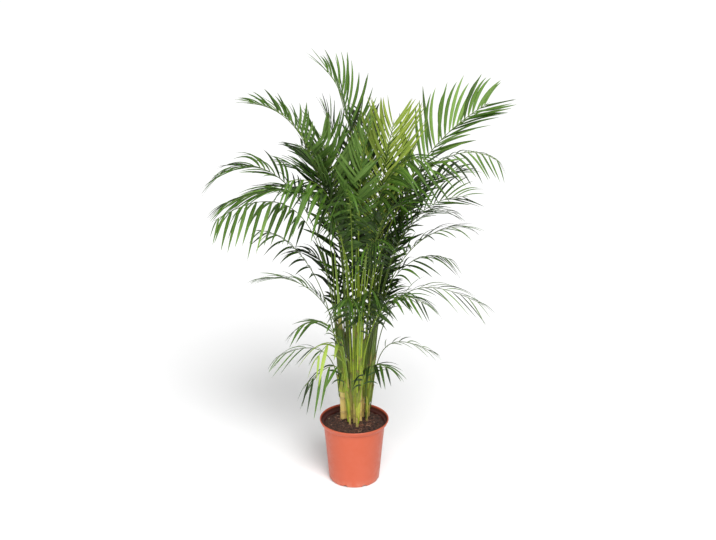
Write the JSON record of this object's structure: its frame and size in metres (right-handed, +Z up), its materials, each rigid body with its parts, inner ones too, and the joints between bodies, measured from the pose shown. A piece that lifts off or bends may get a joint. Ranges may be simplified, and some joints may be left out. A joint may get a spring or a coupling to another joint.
{
  "type": "potted palm",
  "caption": "Clumping feather-leaved palm with slender ringed canes and arching fronds, rooted in soil in a round tapered plastic nursery pot.",
  "frame": {"origin": "centre of the flat underside of the pot, on the ground it stands on", "axes": "+Z up; -Y towards the palm's best side, +X to the right of someone looking at that side"},
  "size_m": [0.8891, 0.5977, 1.2977],
  "materials": {
    "pot": "satin",
    "soil": "matte",
    "cane": "satin",
    "green_cane": "satin",
    "leaf": "satin",
    "young_leaf": "satin"
  },
  "bodies": {
    "root": {"pot": "pot", "soil": "soil", "cane_1": "cane", "cane_2": "green_cane", "cane_3": "green_cane", "cane_4": "green_cane", "cane_5": "cane", "cane_6": "green_cane", "cane_7": "green_cane", "cane_8": "green_cane", "cane_9": "cane", "cane_10": "cane", "cane_11": "cane", "frond_1_1": "leaf", "frond_1_2": "leaf", "frond_1_3": "leaf", "frond_1_4": "leaf", "frond_1_5": "leaf", "frond_2_1": "leaf", "frond_2_2": "leaf", "frond_2_3": "leaf", "frond_3_1": "leaf", "frond_3_2": "leaf", "frond_3_3": "leaf", "frond_3_4": "leaf", "frond_4_1": "leaf", "frond_4_2": "leaf", "frond_4_3": "leaf", "frond_4_4": "leaf", "frond_4_5": "leaf", "frond_5_1": "leaf", "frond_5_2": "leaf", "frond_5_3": "leaf", "frond_5_4": "leaf", "frond_6_1": "leaf", "frond_6_2": "leaf", "frond_6_3": "leaf", "frond_7_1": "leaf", "frond_7_2": "leaf", "frond_7_3": "leaf", "frond_7_4": "leaf", "frond_8_1": "leaf", "frond_8_2": "leaf", "frond_8_3": "leaf", "frond_9_1": "leaf", "frond_9_2": "leaf", "frond_9_3": "leaf", "frond_10_1": "leaf", "frond_10_2": "leaf", "frond_10_3": "leaf", "frond_10_4": "leaf", "frond_11_1": "young_leaf", "frond_11_2": "leaf", "frond_11_3": "leaf", "frond_11_4": "leaf"}
  },
  "joints": []
}
